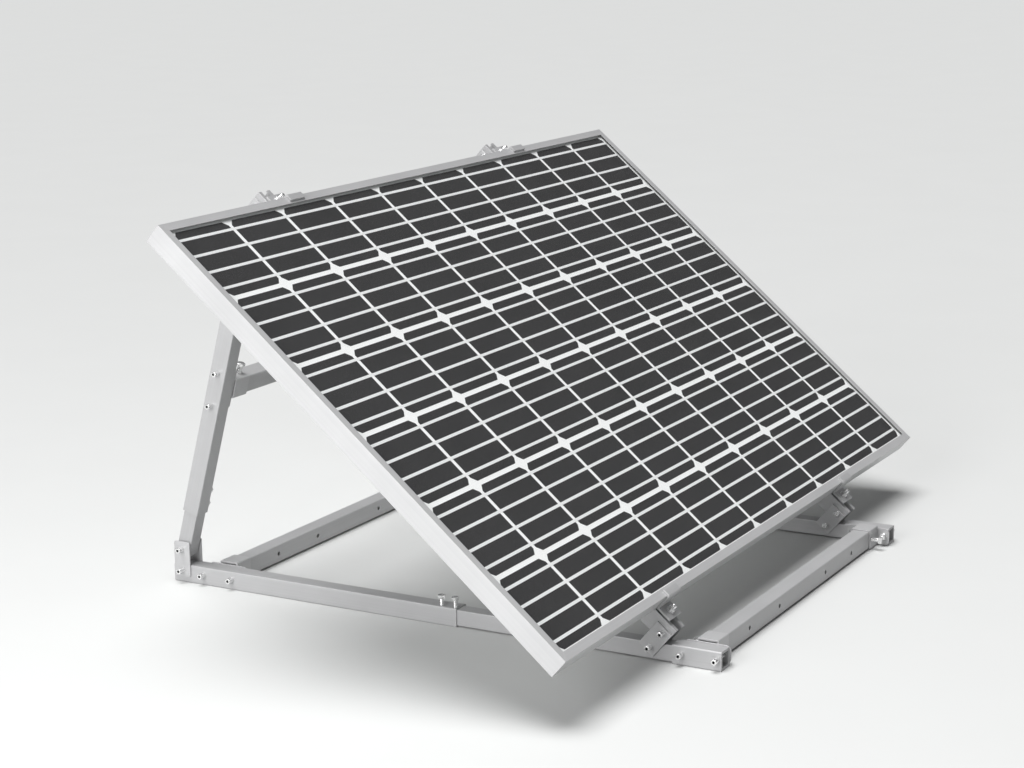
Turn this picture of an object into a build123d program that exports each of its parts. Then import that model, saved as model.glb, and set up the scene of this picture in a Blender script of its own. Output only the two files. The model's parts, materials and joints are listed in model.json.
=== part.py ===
from build123d import *

import math
import os

# A framed 60-cell solar module on an adjustable tilt stand.
# Millimetres. +X runs along the module's long edge, -Y is the front, +Z is up.
# The origin is on the ground, midway between the side frames and midway along the base rails.

# ---- driving dimensions: module ----
module_length = 1640.0
module_width = 992.0
module_depth = 38.0
frame_wall = 1.8
lip_width = 16.0
lip_thickness = 1.3
groove_gap = 0.4
shelf_thickness = 1.5
chamber_width = 11.0
base_flange_width = 28.0
edge_setback = 3.5
seal_width = 11.5
corner_key_arm = 50.0
corner_key_clearance = 0.3

glass_thickness = 3.2
encapsulant_thickness = 0.45
ribbon_thickness = 0.15
cell_thickness = 0.2
backsheet_thickness = 0.35

film_gap = 0.05
cell_size = 151.3
cell_gap = 9.2
cell_corner = 10.2
cell_edge_distance = 16.0
ribbons_per_cell = 4
ribbon_width = 5.6
connector_width = 3.0
connector_offset = 2.0

box_length = 110.0
box_width = 96.0
box_height = 22.0
box_wall = 2.5
box_lid_thickness = 2.0
box_gasket = 1.0
box_edge_distance = 150.0
gland_radius = 7.0
gland_length = 16.0
gland_bore = 3.0
gland_spacing = 56.0

# ---- driving dimensions: stand ----
tilt = 40.2
frame_spacing = 840.0
base_length = 1147.5

tube_size = 35.0
tube_wall = 2.0
tube_corner = 2.5
slide_fit = 0.5
slide_tube_corner = 2.0
rear_tube_length = 628.5
base_tube_overlap = 250.0
front_sleeve_length = 92.0

rail_height = 36.0
rail_wall = 2.5
rail_corner = 1.2
rail_lip_thickness = 3.0
rail_slot_width = 18.0
rail_overhang = 52.0
rail_relief_length = 8.0
rail_relief_height = 9.0

hinge_clearance = 0.5
hinge_gap = 7.5
hinge_inset = 15.0
front_pivot_setback = 133.0
front_pivot_rise = 7.5
foot_pivot_inset = 21.0
foot_pivot_height = 66.0
foot_bolt_height = 24.5

plate_thickness = 3.0
hinge_plate_width = 35.0
hinge_plate_tail = 10.0
hinge_plate_reach = 24.5
joggle_drop = 2.0
joggle_length = 10.0
rail_bolt_rise = 16.0
foot_plate_width = 36.0
foot_plate_bottom = 12.0
foot_plate_top = 81.0
plate_corner = 4.0

leg_end_margin = 12.0
leg_foot_gap = 77.0
leg_retraction = 52.0
leg_crossbeam_drop = 336.0
leg_top_pivot_clearance = 2.0

crossbeam_size = 35.0
crossbeam_end_gap = 2.0
front_crossbeam_setback = 41.5
rear_crossbeam_setback = 101.0
hole_pair_inner = 232.0
hole_pair_outer = 512.0
adjusting_hole_radius = 4.25
fitting_ground_gap = 1.0
fitting_length = 88.0
fitting_height = 34.0
fitting_corner = 10.0
fitting_sleeve_length = 44.0
fitting_screw_place = 34.0
fitting_sleeve_wall = 2.2
fitting_sleeve_clearance = 0.3
fitting_bolt_offset = 33.0
fitting_bolt_height = 20.0
fitting_plate_gap = 2.0

clamp_width = 46.0
clamp_thickness = 4.0
clamp_lip = 11.0
clamp_gap = 6.0
clamp_foot = 32.0
clamp_nose_radius = 3.0
hammer_clearance = 2.5
hammer_width = 13.0
hammer_thickness = 5.0
clamp_bolt_radius = 4.0
clamp_nut_size = 13.0
clamp_nut_height = 8.0
clamp_nut_flange = 8.5
clamp_nut_flange_thickness = 1.6
clamp_bolt_tail = 7.0

# ---- fasteners ----
bolt_radius = 3.0
bolt_clearance = 0.25
pivot_clearance = 0.08
thread_clearance = 0.05
head_radius = 5.2
head_height = 14.0
socket_size = 5.0
socket_depth = 6.0
washer_radius = 6.0
washer_thickness = 1.6
nut_size = 10.0
nut_height = 5.2
thread_tail = 4.0
screw_radius = 4.0
screw_head_size = 13.0
screw_head_height = 6.0
screw_stand = 14.5
screw_offset = 11.0
base_screw_positions = (5.5, 34.0)
leg_screw_positions = (8.0, 36.5)
sliding_clearance = 0.3
spacer_clearance = 0.1

# ---- worked-out places ----
half_length = base_length / 2
half_tube = tube_size / 2
slide_tube_size = tube_size - 2 * (tube_wall + slide_fit)
half_slide = slide_tube_size / 2
frame_x = -frame_spacing / 2
rail_width = tube_size + 2 * hinge_clearance
rail_length = module_width + 2 * rail_overhang
pivot_drop = half_slide + hinge_gap
rail_bolt_height = pivot_drop + rail_bolt_rise
pivot_span = rail_length - 2 * hinge_inset
rail_top = pivot_drop + rail_height
module_low = rail_overhang - hinge_inset
module_top = rail_top + module_depth

front_pivot_y = -half_length + front_pivot_setback
front_pivot_height = half_tube + front_pivot_rise
foot_pivot_y = half_length - foot_pivot_inset
top_pivot_y = front_pivot_y + pivot_span * math.cos(math.radians(tilt))
top_pivot_z = front_pivot_height + pivot_span * math.sin(math.radians(tilt))
leg_rise = top_pivot_z - foot_pivot_height
leg_run = foot_pivot_y - top_pivot_y
leg_length = math.hypot(leg_rise, leg_run)
leg_angle = math.degrees(math.atan2(leg_run, leg_rise))
leg_crossbeam_place = leg_length - leg_crossbeam_drop
lowest_leg_bolt = leg_crossbeam_place - fitting_bolt_offset - bolt_radius
leg_lower_top = lowest_leg_bolt - leg_retraction - 5.0

front_tube_length = base_length - rear_tube_length + base_tube_overlap
front_crossbeam_y = -half_length + front_crossbeam_setback
rear_crossbeam_y = half_length - rear_crossbeam_setback
plate_face = half_tube + plate_thickness
hinge_half = rail_width / 2
hinge_narrow = half_slide + hinge_clearance
sleeve_outer = crossbeam_size / 2 + fitting_sleeve_clearance + fitting_sleeve_wall
screw_line = half_tube + plate_thickness + fitting_screw_place
crossbeam_half = frame_spacing / 2 - half_tube - plate_thickness - crossbeam_end_gap
crossbeam_height = sleeve_outer + fitting_ground_gap
fitting_plate_height = fitting_plate_gap + fitting_height / 2

module_place = Pos(0, front_pivot_y, front_pivot_height) * Rot(tilt, 0, 0)
leg_place = Pos(0, foot_pivot_y, foot_pivot_height) * Rot(leg_angle, 0, 0)


def save(name, *shapes):
    """Write one node: every solid of the given shapes, in one file."""
    solids = []
    for shape in shapes:
        solids.extend(shape.solids())
    body = solids[0] if len(solids) == 1 else Compound(children=solids)
    export_step(body, f"parts/{name}.step")


def pair(shape):
    """A piece of the left side frame and its mirror image in the right one."""
    return [shape, shape.mirror(Plane.YZ)]


def block(low, high):
    """A box from its lowest to its highest corner."""
    size = [b - a for a, b in zip(low, high)]
    centre = [(a + b) / 2 for a, b in zip(low, high)]
    return Pos(*centre) * Box(*size)


def rod_x(radius, start, end, y, z):
    """A round bar along X."""
    return Pos((start + end) / 2, y, z) * Rot(0, 90, 0) * Cylinder(radius, end - start)


def rod_y(radius, start, end, x, z):
    """A round bar along Y."""
    return Pos(x, (start + end) / 2, z) * Rot(90, 0, 0) * Cylinder(radius, end - start)


def rod_z(radius, start, end, x, y):
    """A round bar along Z."""
    return Pos(x, y, (start + end) / 2) * Cylinder(radius, end - start)


def tube_along_z(size, wall, corner, start, end):
    """A square tube with rounded edges, standing on Z."""
    section = RectangleRounded(size, size, corner)
    section -= RectangleRounded(size - 2 * wall, size - 2 * wall, corner / 2)
    return Pos(0, 0, start) * extrude(section, end - start)


def tube_along_y(size, wall, corner, start, end):
    """A square tube with rounded edges, lying along Y."""
    return Rot(-90, 0, 0) * tube_along_z(size, wall, corner, start, end)


def tube_along_x(size, wall, corner, start, end):
    """A square tube with rounded edges, lying along X."""
    return Rot(0, 90, 0) * tube_along_z(size, wall, corner, start, end)


def cap_bolt(seat, tip, y, z):
    """A cap bolt along X whose head stands on the -X side of its seat."""
    bolt = rod_x(bolt_radius, seat, tip, y, z)
    bolt += rod_x(head_radius, seat - head_height, seat, y, z)
    socket = extrude(RegularPolygon(socket_size / 2, 6, major_radius=False), socket_depth)
    return bolt - Pos(seat - head_height, y, z) * Rot(0, 90, 0) * socket


def washer(face, y, z):
    """A flat washer on X, standing on the +X side of a face."""
    ring = rod_x(washer_radius, face, face + washer_thickness, y, z)
    return ring - bolt_hole(y, z)


def nut(face, y, z):
    """A hexagon nut on X, standing on the +X side of a face."""
    hexagon = extrude(RegularPolygon(nut_size / 2, 6, major_radius=False), nut_height)
    hexagon -= Cylinder(bolt_radius + thread_clearance, 3 * nut_height)
    return Pos(face, y, z) * Rot(0, 90, 0) * hexagon


def through_set(near, far, y, z):
    """Bolt, washer and nut that clamp everything between two faces on X."""
    tip = far + washer_thickness + nut_height + thread_tail
    return cap_bolt(near, tip, y, z), washer(far, y, z), nut(far + washer_thickness, y, z)


def bolt_hole(y, z, clearance=bolt_clearance):
    """A hole through a side frame, along X."""
    return rod_x(bolt_radius + clearance, -60, 60, y, z)


def lock_screw(tip, face):
    """A hexagon-head lock screw on +Z, from its tip to a head that stands off a face."""
    head_low = face + screw_stand
    head = extrude(RegularPolygon(screw_head_size / 2, 6, major_radius=False), screw_head_height)
    return rod_z(screw_radius, tip, head_low, 0, 0) + Pos(0, 0, head_low) * head


# ---- module: laminate ----
glass_top = module_top - lip_thickness - groove_gap
front_film_top = glass_top - glass_thickness
ribbon_top = front_film_top - encapsulant_thickness - film_gap
cell_top = ribbon_top - ribbon_thickness
rear_film_top = cell_top - cell_thickness
backsheet_top = rear_film_top - encapsulant_thickness
backsheet_low = backsheet_top - backsheet_thickness
shelf_top = backsheet_low - groove_gap
module_mid = module_low + module_width / 2
cell_pitch = cell_size + cell_gap
cell_columns = int((module_length - 2 * cell_edge_distance + cell_gap) / cell_pitch)
cell_rows = int((module_width - 2 * cell_edge_distance + cell_gap) / cell_pitch)
array_length = cell_columns * cell_pitch - cell_gap


def sheet(top, thickness, inset=edge_setback):
    """One layer of the laminate."""
    half = module_length / 2 - inset
    low = module_low + inset
    high = module_low + module_width - inset
    return block((-half, low, top - thickness), (half, high, top))


def cell_x(column):
    return (column - (cell_columns - 1) / 2) * cell_pitch


def cell_y(row):
    return module_mid + (row - (cell_rows - 1) / 2) * cell_pitch


def solar_cells():
    """Square wafers with cut corners, in columns and rows."""
    outline = chamfer(Rectangle(cell_size, cell_size).vertices(), cell_corner)
    wafer = extrude(outline, cell_thickness)
    places = [(cell_x(c), cell_y(r)) for r in range(cell_rows) for c in range(cell_columns)]
    return [Pos(x, y, cell_top - cell_thickness) * wafer for x, y in places]


def ribbons():
    """Flat soldered ribbons that run along every row of cells."""
    half = array_length / 2
    step = cell_size / ribbons_per_cell
    bars = []
    for row in range(cell_rows):
        for line in range(ribbons_per_cell):
            y = cell_y(row) + (line - (ribbons_per_cell - 1) / 2) * step
            low = (-half - connector_offset, y - ribbon_width / 2, cell_top)
            high = (half + connector_offset, y + ribbon_width / 2, ribbon_top)
            bars.append(block(low, high))
    return bars


def connectors():
    """Cross ribbons that join neighbouring rows, turn about at the two ends."""
    bars = []
    reach = cell_size * (ribbons_per_cell - 1) / ribbons_per_cell / 2 + ribbon_width / 2
    start = array_length / 2 + connector_offset
    for row in range(cell_rows - 1):
        side = 1 if row % 2 == 0 else -1
        ends = sorted((side * start, side * (start + connector_width)))
        low = (ends[0], cell_y(row) - reach, cell_top)
        high = (ends[1], cell_y(row + 1) + reach, ribbon_top)
        bars.append(block(low, high))
    return bars


# ---- module: frame ----
def frame_section():
    """Section of a frame member: X is the way in from the edge, Y is the height."""
    wall = Pos(frame_wall / 2, module_top - module_depth / 2) * Rectangle(frame_wall, module_depth)
    lip = Pos(lip_width / 2, module_top - lip_thickness / 2) * Rectangle(lip_width, lip_thickness)
    shelf_mid = shelf_top - shelf_thickness / 2
    shelf = Pos(chamber_width / 2, shelf_mid) * Rectangle(chamber_width, shelf_thickness)
    web_height = shelf_top - rail_top
    web_x = chamber_width - frame_wall / 2
    web = Pos(web_x, rail_top + web_height / 2) * Rectangle(frame_wall, web_height)
    flange_mid = rail_top + frame_wall / 2
    flange = Pos(base_flange_width / 2, flange_mid) * Rectangle(base_flange_width, frame_wall)
    return wall + lip + shelf + web + flange


def frame_member(length):
    """A mitred member along X whose outer edge is on Y = 0 and that faces +Y."""
    bar = extrude(Plane.YZ * frame_section(), length / 2, both=True)
    reach = base_flange_width + 2
    corners = [
        (-length / 2, 0),
        (length / 2, 0),
        (length / 2 - reach, reach),
        (-length / 2 + reach, reach),
    ]
    wedge = extrude(Plane.XY * make_face(Polyline(*corners, close=True)), module_top + 10)
    return bar & wedge


def corner_keys():
    """L-shaped keys pressed into the hollow chambers at the four corners."""
    inner = frame_wall + corner_key_clearance
    outer = chamber_width - frame_wall - corner_key_clearance
    low = rail_top + frame_wall + corner_key_clearance
    high = shelf_top - shelf_thickness - corner_key_clearance
    long_arm = block((inner, inner, low), (corner_key_arm, outer, high))
    short_arm = block((inner, inner, low), (outer, corner_key_arm, high))
    key = Pos(-module_length / 2, module_low, 0) * (long_arm + short_arm)
    low_keys = pair(key)
    middle = Plane.XZ.offset(-module_mid)
    return low_keys + [k.mirror(middle) for k in low_keys]


def edge_seal():
    """A bead of sealant that holds the laminate's edge in the frame groove."""
    high = shelf_top + 2 * groove_gap + (glass_top - backsheet_low)
    ring = sheet(high, high - shelf_top, frame_wall)
    ring -= sheet(high + 1, high - shelf_top + 2, seal_width)
    return ring - sheet(glass_top, glass_top - backsheet_low)


# ---- module: junction box ----
box_y = module_low + module_width - box_edge_distance
box_low = backsheet_low - box_height
box_rim = box_low + box_lid_thickness + box_gasket


def box_shell(inset, low, high):
    return block(
        (-box_length / 2 + inset, box_y - box_width / 2 + inset, low),
        (box_length / 2 - inset, box_y + box_width / 2 - inset, high),
    )


def junction_box():
    """The box, open at the back, with two bores for its glands."""
    shell = box_shell(0, box_rim, backsheet_low) - box_shell(box_wall, box_rim - 1, backsheet_low - box_wall)
    for x in (-gland_spacing / 2, gland_spacing / 2):
        edge = box_y - box_width / 2
        shell -= rod_y(gland_radius - 2.0 + bolt_clearance, edge - 1, edge + box_wall + 1, x, gland_z)
    return shell


gland_z = (box_rim + backsheet_low) / 2


def glands():
    """Cable glands: a collar outside the wall, a sleeve through it and a bore."""
    made = []
    edge = box_y - box_width / 2
    for x in (-gland_spacing / 2, gland_spacing / 2):
        gland = rod_y(gland_radius, edge - gland_length, edge, x, gland_z)
        gland += rod_y(gland_radius - 2.0, edge, edge + box_wall + 4, x, gland_z)
        gland -= rod_y(gland_bore, edge - gland_length - 1, edge + box_wall + 5, x, gland_z)
        made.append(gland)
    return made


def diodes():
    """Three bypass diodes that lie side by side inside the box."""
    z = backsheet_low - box_wall - 4.5
    return [rod_x(4.0, x - 7, x + 7, box_y + 12, z) for x in (-30, 0, 30)]


# ---- panel rails and clamps ----
def rail_bar():
    """An open rail whose slot faces up, from its lower end to its upper end."""
    low = -hinge_inset
    high = low + rail_length
    half = rail_width / 2
    bar = block((-half, low, pivot_drop), (half, high, rail_top))
    bar = fillet(bar.edges().filter_by(Axis.Y), rail_corner)
    inner = half - rail_wall
    bar -= block(
        (-inner, low - 1, pivot_drop + rail_wall),
        (inner, high + 1, rail_top - rail_lip_thickness),
    )
    slot = rail_slot_width / 2
    bar -= block((-slot, low - 1, rail_top - 2 * rail_lip_thickness), (slot, high + 1, rail_top + 1))
    relief = [
        (low - 1, pivot_drop - 1),
        (low + rail_relief_length, pivot_drop - 1),
        (low + rail_relief_length, pivot_drop),
        (low, pivot_drop + rail_relief_height),
        (low - 1, pivot_drop + rail_relief_height),
    ]
    corner = Plane.YZ * make_face(Polyline(*relief, close=True))
    bar -= extrude(corner, rail_width, both=True)
    bar -= bolt_hole(0, rail_bolt_height)
    return bar - bolt_hole(pivot_span, rail_bolt_height)


def front_hinge_plate():
    """A stepped side plate: wide on the rail above, close to the base tube below."""
    joggle_end = pivot_drop - joggle_drop
    joggle_start = joggle_end - joggle_length
    top = pivot_drop + hinge_plate_reach
    outline = [
        (hinge_narrow, -hinge_plate_tail),
        (hinge_narrow, joggle_start),
        (hinge_half, joggle_end),
        (hinge_half, top),
        (hinge_half + plate_thickness, top),
        (hinge_half + plate_thickness, joggle_end),
        (hinge_narrow + plate_thickness, joggle_start),
        (hinge_narrow + plate_thickness, -hinge_plate_tail),
    ]
    low = -hinge_inset
    section = Plane((0, low, 0), x_dir=(1, 0, 0), z_dir=(0, -1, 0))
    plate = extrude(section * make_face(Polyline(*outline, close=True)), -hinge_plate_width)
    plate -= bolt_hole(0, 0, pivot_clearance)
    return plate - bolt_hole(0, rail_bolt_height)


def upper_hinge_plate():
    """A flat side plate that joins the rail's upper end to the leg."""
    high = pivot_span + hinge_inset
    plate = block(
        (hinge_half, high - hinge_plate_width, -hinge_plate_tail),
        (hinge_half + plate_thickness, high, pivot_drop + hinge_plate_reach),
    )
    plate = fillet(plate.edges().filter_by(Axis.X), plate_corner)
    plate -= bolt_hole(pivot_span, 0, pivot_clearance)
    return plate - bolt_hole(pivot_span, rail_bolt_height)


def end_clamp():
    """A Z-shaped end clamp at the module's lower edge."""
    top = module_top + clamp_thickness
    foot_low = rail_top + clamp_gap
    edge = module_low
    outline = [
        (edge + clamp_lip, module_top),
        (edge + clamp_lip, top),
        (edge - clamp_thickness, top),
        (edge - clamp_thickness, foot_low + clamp_thickness),
        (edge - clamp_foot, foot_low + clamp_thickness),
        (edge - clamp_foot, foot_low),
        (edge, foot_low),
        (edge, module_top),
    ]
    clamp = extrude(Plane.YZ * make_face(Polyline(*outline, close=True)), clamp_width / 2, both=True)
    nose = clamp.edges().filter_by(Axis.X).group_by(Axis.Z)[-1].sort_by(Axis.Y)[0]
    clamp = fillet(nose, clamp_nose_radius)
    return clamp - rod_z(clamp_bolt_radius + bolt_clearance, rail_top, module_top, 0, clamp_bolt_y)


clamp_bolt_y = module_low - (clamp_thickness + clamp_foot) / 2


def clamp_bolt():
    """A hammer-head bolt: its head is inside the rail, its thread stands up through the clamp."""
    head_top = rail_top - rail_lip_thickness
    y = clamp_bolt_y
    tip = rail_top + clamp_gap + clamp_thickness + clamp_nut_height + clamp_bolt_tail
    hammer_half = rail_width / 2 - rail_wall - hammer_clearance
    head = block(
        (-hammer_half, y - hammer_width / 2, head_top - hammer_thickness),
        (hammer_half, y + hammer_width / 2, head_top),
    )
    return head + rod_z(clamp_bolt_radius, head_top, tip, 0, y)


def clamp_nut():
    """A flanged nut that presses the clamp's foot down."""
    face = rail_top + clamp_gap + clamp_thickness
    body = extrude(RegularPolygon(clamp_nut_size / 2, 6, major_radius=False), clamp_nut_height)
    body += rod_z(clamp_nut_flange, 0, clamp_nut_flange_thickness, 0, 0)
    body -= Cylinder(clamp_bolt_radius + thread_clearance, 4 * clamp_nut_height)
    return Pos(0, clamp_bolt_y, face) * body


def at_upper_edge(shape):
    """The mirror image of a lower-edge piece, at the module's upper edge."""
    return shape.mirror(Plane.XZ.offset(-module_mid))


# ---- telescoping tubes and crossbeams ----
def fitting(along_z):
    """A crossbeam end fitting: a bolted plate with a square sleeve welded on."""
    length, height = (fitting_height, fitting_length) if along_z else (fitting_length, fitting_height)
    plate = extrude(Plane.YZ * RectangleRounded(length, height, fitting_corner), plate_thickness)
    outer = crossbeam_size + 2 * (fitting_sleeve_clearance + fitting_sleeve_wall)
    drop = 0 if along_z else crossbeam_height - fitting_plate_height
    start = plate_thickness
    sleeve = tube_along_x(outer, fitting_sleeve_wall, tube_corner, start, start + fitting_sleeve_length)
    piece = plate + Pos(0, 0, drop) * sleeve
    for offset in (-fitting_bolt_offset, fitting_bolt_offset):
        if along_z:
            piece -= rod_x(bolt_radius + bolt_clearance, -1, plate_thickness + 1, 0, offset)
        else:
            z = fitting_bolt_height - fitting_plate_height
            piece -= rod_x(bolt_radius + bolt_clearance, -1, plate_thickness + 1, offset, z)
    return piece


def crossbeam():
    """A square crossbeam along X."""
    return tube_along_x(crossbeam_size, tube_wall, tube_corner, -crossbeam_half, crossbeam_half)


def base_crossbeam(y):
    """One base crossbeam with its adjusting holes, from its front face to its rear one."""
    beam = Pos(0, y, crossbeam_height) * crossbeam()
    for spacing in (hole_pair_inner, hole_pair_outer):
        for x in (-spacing / 2, spacing / 2):
            beam -= rod_y(adjusting_hole_radius, y - crossbeam_size, y + crossbeam_size, x, crossbeam_height)
    return beam


def both_ends(shape, y):
    """A left-hand piece of a crossbeam and the same piece turned round for the right-hand end."""
    return [shape, Pos(0, y, 0) * Rot(0, 0, 180) * Pos(0, -y, 0) * shape]


def base_fittings(y):
    """The two end fittings of one base crossbeam, with holes for their lock screws."""
    place = Pos(frame_x + half_tube, y, fitting_plate_height)
    piece = place * fitting(False)
    x = frame_x + screw_line
    piece -= rod_y(screw_radius + thread_clearance, y, y + tube_size, x, crossbeam_height)
    return both_ends(piece, y)


def base_bolts_at(y):
    """The two bolt sets that hold one base crossbeam fitting to its rail."""
    return [
        through_set(-half_tube, plate_face, y + offset, fitting_bolt_height)
        for offset in (-fitting_bolt_offset, fitting_bolt_offset)
    ]


os.makedirs("parts", exist_ok=True)
left = Pos(frame_x, 0, 0)

# ---- write the module ----
lower_member = Pos(0, module_low, 0) * frame_member(module_length)
upper_member = at_upper_edge(lower_member)
side_member = Rot(0, 0, -90) * frame_member(module_width)
left_member = Pos(-module_length / 2, module_mid, 0) * side_member
save("frame_lower_member", module_place * lower_member)
save("frame_upper_member", module_place * upper_member)
save("frame_left_member", module_place * left_member)
save("frame_right_member", module_place * left_member.mirror(Plane.YZ))
save("frame_corner_keys", *[module_place * k for k in corner_keys()])
save("frame_edge_seal", module_place * edge_seal())
save("front_glass", module_place * sheet(glass_top, glass_thickness))
save("front_encapsulant", module_place * sheet(front_film_top, encapsulant_thickness))
save("busbar_ribbons", *[module_place * r for r in ribbons()])
save("string_connectors", *[module_place * c for c in connectors()])
save("solar_cells", *[module_place * c for c in solar_cells()])
save("rear_encapsulant", module_place * sheet(rear_film_top, encapsulant_thickness))
save("backsheet", module_place * sheet(backsheet_top, backsheet_thickness))

box_gasket_ring = box_shell(0, box_rim - box_gasket, box_rim) - box_shell(box_wall, box_low, backsheet_low)
save("junction_box_base", module_place * junction_box())
save("junction_box_gasket", module_place * box_gasket_ring)
save("junction_box_lid", module_place * box_shell(0, box_low, box_low + box_lid_thickness))
save("cable_glands", *[module_place * g for g in glands()])
save("bypass_diodes", *[module_place * d for d in diodes()])

# ---- write the panel rails, hinge plates and clamps ----
rail = left * rail_bar()
save("left_panel_rail", module_place * rail)
save("right_panel_rail", module_place * rail.mirror(Plane.YZ))

front_plates = pair(front_hinge_plate())
upper_plates = pair(upper_hinge_plate())
save("front_hinge_plates", *[module_place * q for p in front_plates for q in pair(left * p)])
save("upper_hinge_plates", *[module_place * q for p in upper_plates for q in pair(left * p)])

plate_outside = hinge_half + plate_thickness
rail_sets = [
    through_set(-plate_outside, plate_outside, y, z)
    for y, z in ((0, rail_bolt_height), (pivot_span, rail_bolt_height), (pivot_span, 0))
]
save("rail_bolts", *[module_place * b for s in rail_sets for b in pair(left * s[0])])
save("rail_bolt_washers", *[module_place * w for s in rail_sets for w in pair(left * s[1])])
save("rail_bolt_nuts", *[module_place * n for s in rail_sets for n in pair(left * s[2])])

lower_clamps = pair(left * end_clamp())
lower_clamp_bolts = pair(left * clamp_bolt())
lower_clamp_nuts = pair(left * clamp_nut())
save("lower_end_clamps", *[module_place * c for c in lower_clamps])
save("lower_clamp_bolts", *[module_place * b for b in lower_clamp_bolts])
save("lower_clamp_nuts", *[module_place * n for n in lower_clamp_nuts])
save("upper_end_clamps", *[module_place * at_upper_edge(c) for c in lower_clamps])
save("upper_clamp_bolts", *[module_place * at_upper_edge(b) for b in lower_clamp_bolts])
save("upper_clamp_nuts", *[module_place * at_upper_edge(n) for n in lower_clamp_nuts])

# ---- write the legs ----
leg_top = leg_length + leg_end_margin
upper_leg = tube_along_z(tube_size, tube_wall, tube_corner, leg_foot_gap, leg_top)
upper_leg -= bolt_hole(0, leg_length, leg_top_pivot_clearance)
for offset in (-fitting_bolt_offset, fitting_bolt_offset):
    upper_leg -= bolt_hole(0, leg_crossbeam_place + offset)
for place in leg_screw_positions:
    upper_leg -= rod_x(screw_radius + thread_clearance, 0, tube_size, 0, leg_foot_gap + place)
lower_leg = tube_along_z(slide_tube_size, tube_wall, slide_tube_corner, -leg_end_margin, leg_lower_top)
lower_leg -= bolt_hole(0, 0, pivot_clearance)
upper_leg = left * upper_leg
lower_leg = left * lower_leg
save("left_leg_upper_tube", leg_place * upper_leg)
save("right_leg_upper_tube", leg_place * upper_leg.mirror(Plane.YZ))
save("left_leg_lower_tube", leg_place * lower_leg)
save("right_leg_lower_tube", leg_place * lower_leg.mirror(Plane.YZ))

leg_fitting = Pos(frame_x + half_tube, 0, leg_crossbeam_place) * fitting(True)
screw_x = frame_x + screw_line
screw_foot = leg_crossbeam_place
leg_fitting -= rod_z(screw_radius + thread_clearance, screw_foot, screw_foot + tube_size, screw_x, 0)
leg_beam = Pos(0, 0, leg_crossbeam_place) * crossbeam()
save("leg_crossbeam", leg_place * leg_beam)
save("leg_crossbeam_fittings", *[leg_place * f for f in pair(leg_fitting)])

leg_sets = [
    through_set(-half_tube, plate_face, 0, leg_crossbeam_place + offset)
    for offset in (-fitting_bolt_offset, fitting_bolt_offset)
]
save("leg_bolts", *[leg_place * b for s in leg_sets for b in pair(left * s[0])])
save("leg_bolt_washers", *[leg_place * w for s in leg_sets for w in pair(left * s[1])])
save("leg_bolt_nuts", *[leg_place * n for s in leg_sets for n in pair(left * s[2])])

leg_screws = []
for place in leg_screw_positions:
    turned = Rot(0, 90, 0) * lock_screw(half_slide + sliding_clearance, half_tube)
    leg_screws.extend(pair(Pos(frame_x, 0, leg_foot_gap + place) * turned))
crossbeam_screw = lock_screw(crossbeam_size / 2, sleeve_outer)
leg_screws.extend(pair(Pos(screw_x, 0, leg_crossbeam_place) * crossbeam_screw))
save("leg_lock_screws", *[leg_place * s for s in leg_screws])

# ---- write the base rails ----
tube_front = half_length - rear_tube_length
rear_tube = tube_along_y(tube_size, tube_wall, tube_corner, tube_front, half_length)
front_tube_end = -half_length + front_tube_length
front_tube = tube_along_y(slide_tube_size, tube_wall, slide_tube_corner, -half_length, front_tube_end)
sleeve_end = -half_length + front_sleeve_length
front_sleeve = tube_along_y(tube_size, tube_wall, tube_corner, -half_length, sleeve_end)
lift = Pos(0, 0, half_tube)
rear_tube = lift * rear_tube
front_tube = lift * front_tube - bolt_hole(front_pivot_y, front_pivot_height, pivot_clearance)
front_sleeve = lift * front_sleeve
for offset in (-fitting_bolt_offset, fitting_bolt_offset):
    rear_tube -= bolt_hole(rear_crossbeam_y + offset, fitting_bolt_height)
    front_tube -= bolt_hole(front_crossbeam_y + offset, fitting_bolt_height)
    front_sleeve -= bolt_hole(front_crossbeam_y + offset, fitting_bolt_height)
rear_tube -= bolt_hole(foot_pivot_y, foot_bolt_height)
for place in base_screw_positions:
    y = tube_front + place
    rear_tube -= rod_z(screw_radius + thread_clearance, half_tube, tube_size + 1, -screw_offset, y)
for name, shape in (
    ("base_rear_tube", rear_tube),
    ("base_front_tube", front_tube),
):
    save("left_" + name, left * shape)
    save("right_" + name, (left * shape).mirror(Plane.YZ))
save("front_tube_sleeves", *pair(left * front_sleeve))

foot_plate = block(
    (half_tube, foot_pivot_y - foot_plate_width / 2, foot_plate_bottom),
    (half_tube + plate_thickness, foot_pivot_y + foot_plate_width / 2, foot_plate_top),
)
foot_plate = fillet(foot_plate.edges().filter_by(Axis.X), plate_corner)
foot_plate -= bolt_hole(foot_pivot_y, foot_pivot_height)
foot_plate -= bolt_hole(foot_pivot_y, foot_bolt_height)
save("foot_plates", *[q for p in pair(foot_plate) for q in pair(left * p)])

spacer_x = (half_slide + spacer_clearance, half_tube - spacer_clearance)
spacer = rod_x(washer_radius, *spacer_x, foot_pivot_y, foot_pivot_height)
spacer -= bolt_hole(foot_pivot_y, foot_pivot_height)
save("foot_pivot_spacers", *[q for p in pair(spacer) for q in pair(left * p)])

save("front_crossbeam", base_crossbeam(front_crossbeam_y))
save("rear_crossbeam", base_crossbeam(rear_crossbeam_y))
save("front_crossbeam_fittings", *base_fittings(front_crossbeam_y))
save("rear_crossbeam_fittings", *base_fittings(rear_crossbeam_y))

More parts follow.
